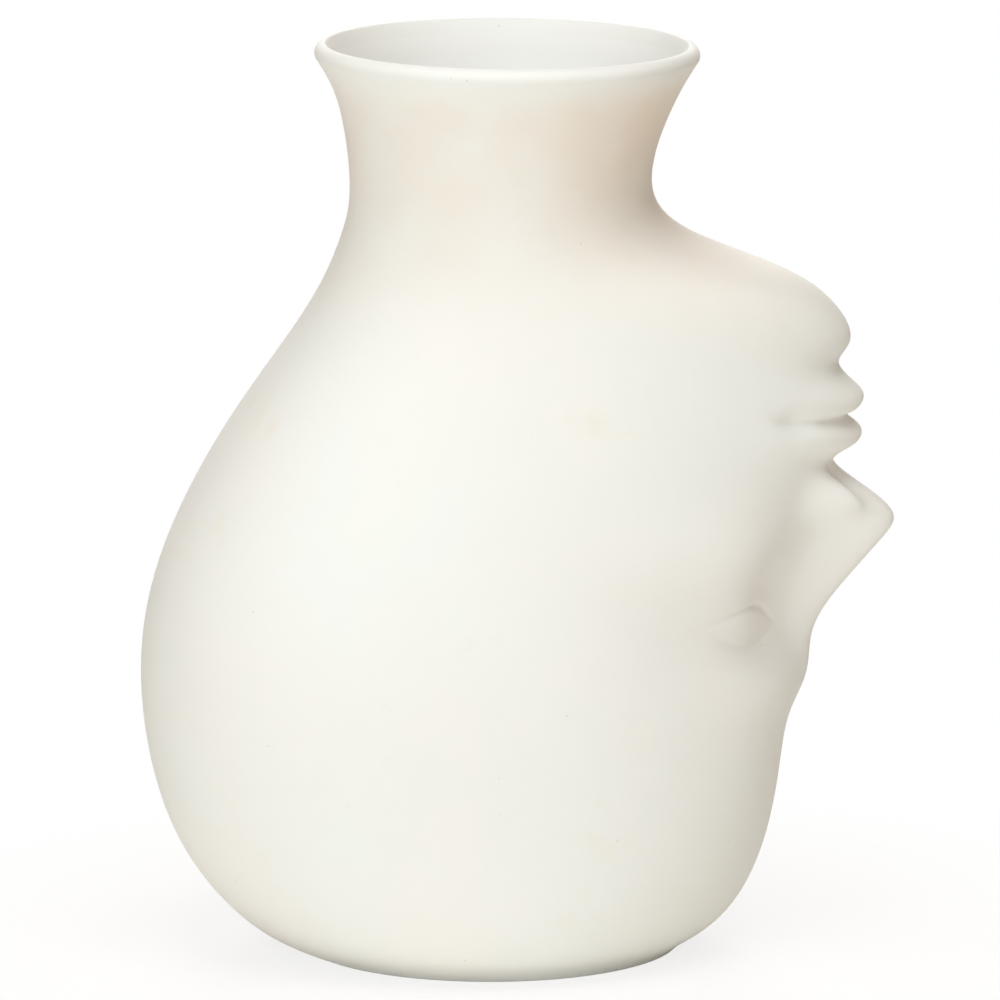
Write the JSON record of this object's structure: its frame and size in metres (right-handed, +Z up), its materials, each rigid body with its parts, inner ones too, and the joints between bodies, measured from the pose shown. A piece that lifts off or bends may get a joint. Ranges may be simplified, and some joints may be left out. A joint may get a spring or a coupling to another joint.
{
  "type": "face vase",
  "caption": "Vase shaped as a head standing on its crown, its neck turned up and flared into the mouth, bare porcelain outside and glazed inside.",
  "frame": {"origin": "on the standing surface, under the middle of the vase's outline", "axes": "+X the way the face looks, +Z up through the mouth, the head's left and right mirror each other in the XZ plane"},
  "size_m": [0.2313, 0.1578, 0.28],
  "materials": {
    "bisque_porcelain": "matte, unglazed, sanded smooth, warm white",
    "clear_glaze": "thin clear gloss glaze over white"
  },
  "bodies": {
    "root": {"porcelain_body": "bisque_porcelain", "glaze_lining": "clear_glaze"}
  },
  "joints": []
}
